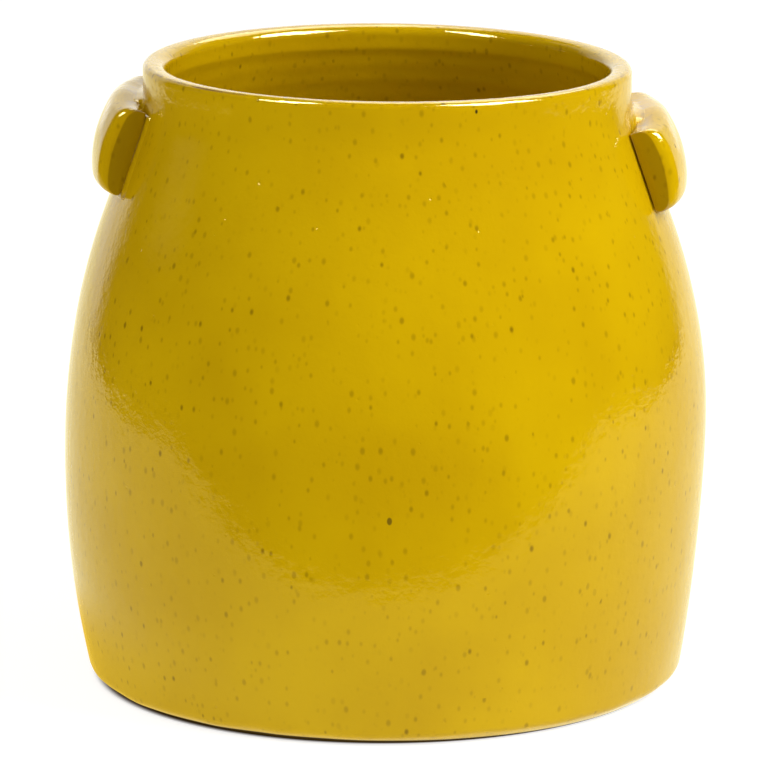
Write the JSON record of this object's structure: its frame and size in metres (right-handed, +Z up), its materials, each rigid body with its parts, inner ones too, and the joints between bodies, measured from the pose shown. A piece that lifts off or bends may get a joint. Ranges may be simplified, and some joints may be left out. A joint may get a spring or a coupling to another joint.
{
  "type": "flower pot",
  "caption": "Round-bellied glazed stoneware flower pot with a wide mouth, an upright rim, a bevelled foot and pressed lugs luted to opposite sides of its shoulder.",
  "frame": {"origin": "centre of the foot ring, on the surface that the pot stands on", "axes": "+Z up along the throwing axis, towards the mouth; the lugs lie along -X and +X; -Y is the side seen in the picture"},
  "size_m": [0.27, 0.27, 0.2605],
  "materials": {
    "body_glaze": "glossy speckled yellow ochre glaze over stoneware",
    "lug_glaze": "glossy speckled yellow ochre glaze, thinner on the edges",
    "slip_glaze": "glaze pooled over the luting slip"
  },
  "bodies": {
    "root": {"pot_body": "body_glaze", "left_lug": "lug_glaze", "right_lug": "lug_glaze", "left_slip_joint": "slip_glaze", "right_slip_joint": "slip_glaze"}
  },
  "joints": []
}
